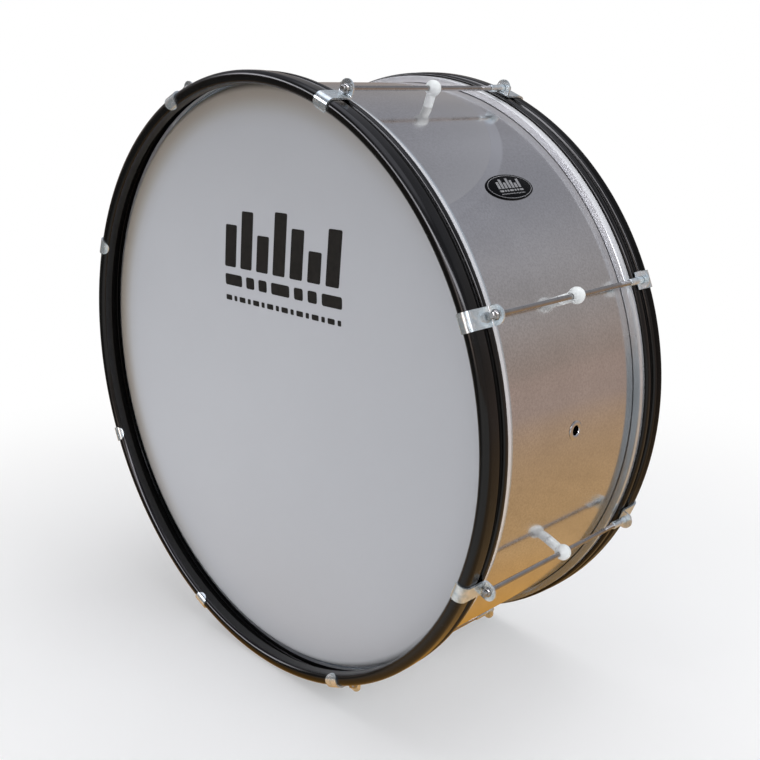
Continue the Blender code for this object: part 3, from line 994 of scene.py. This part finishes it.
def grommet():
    """Eyelet: a rolled flange outside, a tube and a rolled lip inside."""
    outer = SHELL_RADIUS + 0.2 * MM
    inner = SHELL_RADIUS - WALL - GAP
    section = [
        (5.4 * MM, outer + 0.2 * MM, 1.0 * MM),
        (6.6 * MM, outer + 1.2 * MM, 1.2 * MM),
        (9.4 * MM, outer + 1.2 * MM, 1.4 * MM),
        (11.0 * MM, outer, 0.4 * MM),
        (6.1 * MM, outer, 0.2 * MM),
        (6.1 * MM, inner, 0.2 * MM),
        (8.2 * MM, inner, 0.4 * MM),
        (7.2 * MM, inner - 1.2 * MM, 0.6 * MM),
        (5.4 * MM, inner - 1.2 * MM, 0.6 * MM),
    ]
    return lathe("grommet", rounded(section, 0.4 * MM, 5), 64, axis="X", degrees=45.0)


put("vent_eyelet", grommet(), chrome, "drum_shell", "vent_grommet", at_fittings)


def on_shell(along, across, rise):
    """A point over the shell near the badge: along the axis, round the shell, outwards."""
    radius = SHELL_RADIUS + rise
    angle = BADGE_ANGLE + across / SHELL_RADIUS
    return (radius * math.cos(angle), FITTINGS_Y + along, radius * math.sin(angle))


def wrapped_plate(name, outline, rises, hole=None):
    """A closed plate on the shell's curve: an outline, or the band between it and a hole."""
    low, high = rises
    if hole:
        stack = [(low, outline), (high, outline), (high, hole), (low, hole)]
    else:
        eased = [(x * 0.985, z * 0.965) for x, z in outline]
        stack = [(low, outline), (high - 0.25 * MM, outline), (high, eased)]
    shape = bmesh.new()
    loops = [[shape.verts.new(on_shell(x, z, rise)) for x, z in loop] for rise, loop in stack]
    for one, two in zip(loops, loops[1:]):
        bridge(shape, one, two)
    if hole:
        bridge(shape, loops[-1], loops[0])
    else:
        cap(shape, loops[0])
        cap(shape, loops[-1])
    return finish_mesh(shape, name)


def cap(shape, loop):
    """Fill an oval loop with strips so that it keeps the shell's curve."""
    count = len(loop)
    for i in range(count // 2):
        across = (loop[i], loop[i + 1], loop[(count - i - 1) % count], loop[(count - i) % count])
        corners = list(dict.fromkeys(across))
        if len(corners) > 2:
            shape.faces.new(corners)


def oval(share_x, share_z, steps=96):
    """An ellipse as a share of the badge's own."""
    points = []
    for i in range(steps):
        a = math.tau * i / steps
        points.append((BADGE_HALF[0] * share_x * math.cos(a), BADGE_HALF[1] * share_z * math.sin(a)))
    return points


plate = wrapped_plate("badge_plate", oval(1.0, 1.0), BADGE_FACE)
put("badge_plate", plate, badge_black, "drum_shell", "badge")
ring = wrapped_plate("badge_ring", oval(0.935, 0.90), BADGE_LINE, oval(0.915, 0.865))
put("badge_line", ring, silver_ink, "drum_shell", None)


def slab(shape, outline, to_point, rises):
    """A thin closed slab over an outline; to_point maps (x, z, rise) into space."""
    bottom, top = [[shape.verts.new(to_point(x, z, rise)) for x, z in outline] for rise in rises]
    shape.faces.new(bottom)
    shape.faces.new(top)
    bridge(shape, bottom, top)


def leaning_bar(x, z, width, height, lean, ease):
    """A bar with eased corners, leaning to the right by lean at its top."""
    corners = [(x, z), (x + width, z), (x + width + lean, z + height), (x + lean, z + height)]
    return rounded(corners, ease, 3)


def beat_mark(name, to_point, x, z, scale, rises):
    """A plain pattern: seven leaning bars of different heights over two dashed lines."""
    bars = []
    for i, height in enumerate((52.0, 70.0, 44.0, 74.0, 58.0, 36.0, 64.0)):
        bars.append(leaning_bar(31.5 * i, 42.0, 22.5, height, 0.12 * height, 2.5))
    start = 0.0
    for length in (34.0, 16.0, 16.0, 34.0, 16.0, 16.0, 34.0):
        bars.append(leaning_bar(start, 19.0, length, 14.0, 0.0, 3.0))
        start += length + 8.4
    start = 0.0
    for length in (12.0, 6.0) * 8:
        bars.append(leaning_bar(start, 0.0, length, 6.5, 0.0, 1.5))
        start += length + 4.7
    shape = bmesh.new()
    for bar in bars:
        slab(shape, [(x + u * scale, z + v * scale) for u, v in bar], to_point, rises)
    return finish_mesh(shape, name)


def on_head(x, z, rise):
    """A point over the front head."""
    return (x, -HEAD_PLANE - rise, z)


mark = beat_mark("head_mark", on_head, -81.0 * MM, 97.0 * MM, MM, INK)
put("head_mark", mark, ink, "front_rim", None)
small = beat_mark("badge_mark", on_shell, -19.5 * MM, -9.4 * MM, 0.178 * MM, BADGE_LINE)
put("badge_mark", small, silver_ink, "drum_shell", None)

# ------------------------------------------------------------------ stage, light, camera


def timber(look, distance):
    """The floor's glow as mirrors see it, painted light: warm near the drum and darker right under
    it as a painted shadow, plain in front, dark far off.
    """
    near = look.mix(
        look.span(distance, 0.15, 0.55, 0.0, 1.0, True), rgb(*WARM_NEAR), rgb(*WARM_MIDDLE)
    )
    # Painted shadow: darker right under the drum
    near = look.blend(distance, 0.18, 0.42, rgb(*WARM_SHADOW_UNDER), near)
    tone = look.blend(distance, 0.5, 2.2, near, rgb(*WARM_FAR))
    axes = look.axes()
    left = look.span(axes["X"], -0.5, 0.15, 1.0, 0.0, True)
    front = look.mix(left, rgb(*PLAIN_FRONT), rgb(*DARK))
    tone = look.mix(look.span(axes["Y"], -0.5, -0.15, 1.0, 0.0, True), tone, front)
    beyond = look.span(look.math("SUBTRACT", axes["Y"], axes["X"]), 1.0, 2.0, 0.0, 0.8, True)
    beyond = look.times(beyond, look.span(distance, 3.0, 5.0, 1.0, 0.0))
    return look.mix(beyond, tone, rgb(*DARK))


def floor():
    """A plain pale floor that fades to white; only mirrors see it, as warm timber glowing with
    painted light.
    """
    shape = bmesh.new()
    bmesh.ops.create_grid(shape, x_segments=1, y_segments=1, size=14.0)
    mesh = bpy.data.meshes.new("floor")
    shape.to_mesh(mesh)
    shape.free()
    plane = bpy.data.objects.new("floor", mesh)
    plane.location = (0.0, 0.0, hoop_low.z)
    scene.collection.objects.link(plane)

    look = Look("pale_floor")
    path = look.node("ShaderNodeLightPath").outputs
    pale = look.blend(look.noise(3.0, 3.0), 0.3, 0.7, rgb(0.93, 0.93, 0.93), rgb(0.90, 0.90, 0.90))
    look.set(colour=pale, rough=0.8, specular=0.1)
    from_drum = look.node("ShaderNodeVectorMath", {0: look.place()}, operation="LENGTH")
    distance = from_drum.outputs["Value"]
    planks = look.span(look.noise(6.0, 3.0, 0.6, (1.0, 5.0, 1.0)), 0.3, 0.7, 0.9, 1.1)
    # The timber glows as emission, a painted light, instead of being lit by the lamps
    warm = look.node(
        "ShaderNodeEmission", {"Color": timber(look, distance), "Strength": planks}
    ).outputs[0]
    before_diffuse = look.math("LESS_THAN", path["Diffuse Depth"], 0.5)
    mirrored_ray = look.times(path["Is Glossy Ray"], before_diffuse)
    seen = look.layer(mirrored_ray, look.shader.outputs[0], warm)
    white = look.node("ShaderNodeEmission", {"Color": WHITE, "Strength": 1.0}).outputs[0]
    fade = look.times(look.span(distance, 0.35, 1.3, 0.35, 1.0, True), path["Is Camera Ray"])
    out = next(n for n in look.tree.nodes if n.type == "OUTPUT_MATERIAL")
    look.tree.links.new(look.layer(fade, seen, white), out.inputs["Surface"])
    mesh.materials.append(look.material)


class Room(Look):
    """The world's nodes, under construction."""

    def __init__(self, name):
        self.world = bpy.data.worlds.new(name)
        self.world.use_nodes = True
        self.tree = self.world.node_tree
        self.tree.nodes.clear()


def mirrored_room(room):
    """A grey room, warm low down: bright ceiling, and a window's strip and column ahead."""
    coords = room.node("ShaderNodeTexCoord").outputs["Generated"]
    axes = room.node("ShaderNodeSeparateXYZ", {"Vector": coords}).outputs
    level = axes["Z"]
    walls = room.blend(level, 0.0, 0.28, rgb(*WALL_FOOT), rgb(*WALL_MIDDLE))
    walls = room.blend(level, 0.28, 0.60, walls, rgb(*WALL_TOP))
    cloud = room.node("ShaderNodeTexNoise", {"Vector": coords, "Scale": 1.8, "Detail": 2.0})
    uneven = room.span(cloud.outputs["Fac"], 0.3, 0.7, 0.78, 1.26)
    power = room.times(room.span(level, 0.78, 0.94, 1.0, CEILING, True), uneven)

    ahead = room.span(axes["Y"], -0.55, -0.15, 1.0, 0.0, True)
    corner = room.times(ahead, room.span(axes["X"], -0.45, 0.05, 1.0, 0.0, True))
    power = room.times(power, room.span(corner, 0.0, 1.0, 1.0, 0.3))
    strip = room.band(level, 0.36, 0.46, 0.50, 0.60)
    power = room.plus(power, room.times(room.times(strip, ahead), WINDOW_STRIP))
    column = room.times(
        room.band(axes["X"], -0.08, 0.08, 0.18, 0.34), room.span(level, -0.2, 0.5, *WINDOW_COLUMN)
    )
    column = room.times(column, room.span(level, 0.51, 0.57, 1.0, 0.0))
    power = room.plus(power, room.times(column, ahead))

    path = room.node("ShaderNodeLightPath").outputs
    first = room.math("LESS_THAN", path["Glossy Depth"], 1.5)
    later = room.span(first, 0.0, 1.0, SECOND_REFLECTION, 0.0)
    power = room.plus(room.times(power, first), later)
    return room.node("ShaderNodeBackground", {"Color": walls, "Strength": power}).outputs[0]


def world():
    """White behind the object and soft light on it; only mirrors see the room."""
    room = Room("room")
    scene.world = room.world
    path = room.node("ShaderNodeLightPath").outputs
    soft = room.node("ShaderNodeBackground", {"Color": rgb(0.95, 0.955, 1.0), "Strength": 0.48})
    back = room.node("ShaderNodeBackground", {"Color": WHITE, "Strength": 1.0})
    lit = room.layer(path["Is Glossy Ray"], soft.outputs[0], mirrored_room(room))
    seen = room.layer(path["Is Camera Ray"], lit, back.outputs[0])
    room.node("ShaderNodeOutputWorld", {"Surface": seen})


def panel(name, where, target, size, power, colour=(1.0, 1.0, 1.0)):
    """A soft rectangular light aimed at a point; mirrors and the camera don't see it."""
    data = bpy.data.lights.new(name, "AREA")
    data.shape = "RECTANGLE"
    data.size, data.size_y = size
    data.energy = power
    data.color = colour
    lamp = bpy.data.objects.new(name, data)
    lamp.location = where
    lamp.visible_glossy = False
    lamp.visible_camera = False
    lamp.rotation_mode = "QUATERNION"
    lamp.rotation_quaternion = (Vector(where) - Vector(target)).to_track_quat("Z", "Y")
    scene.collection.objects.link(lamp)


def viewpoint():
    """The camera, looking at the front head from the right and a little above."""
    data = bpy.data.cameras.new("camera")
    data.sensor_width = 36.0
    data.lens = CAMERA_LENS
    camera = bpy.data.objects.new("camera", data)
    scene.collection.objects.link(camera)
    camera.matrix_world = (
        Matrix.Translation(CAMERA_AT)
        @ Matrix.Rotation(CAMERA_YAW, 4, "Z")
        @ Matrix.Rotation(math.pi / 2 - CAMERA_PITCH, 4, "X")
        @ Matrix.Rotation(-CAMERA_ROLL, 4, "Z")
    )
    scene.camera = camera


floor()
world()
panel("low", (-0.4, -1.05, -0.29), (-0.05, 0.0, -0.25), (1.5, 0.14), 5.1, (1.0, 0.995, 0.985))
panel("top", (0.3, 0.3, 2.8), (0.0, 0.0, 0.0), (2.4, 2.4), 38.0)
panel("right", (2.8, 0.4, 1.6), (0.0, 0.0, 0.0), (0.8, 2.2), 28.0, (0.96, 0.98, 1.0))
viewpoint()
scene.view_settings.view_transform = "Standard"
scene.view_settings.look = "None"

bpy.context.view_layer.update()
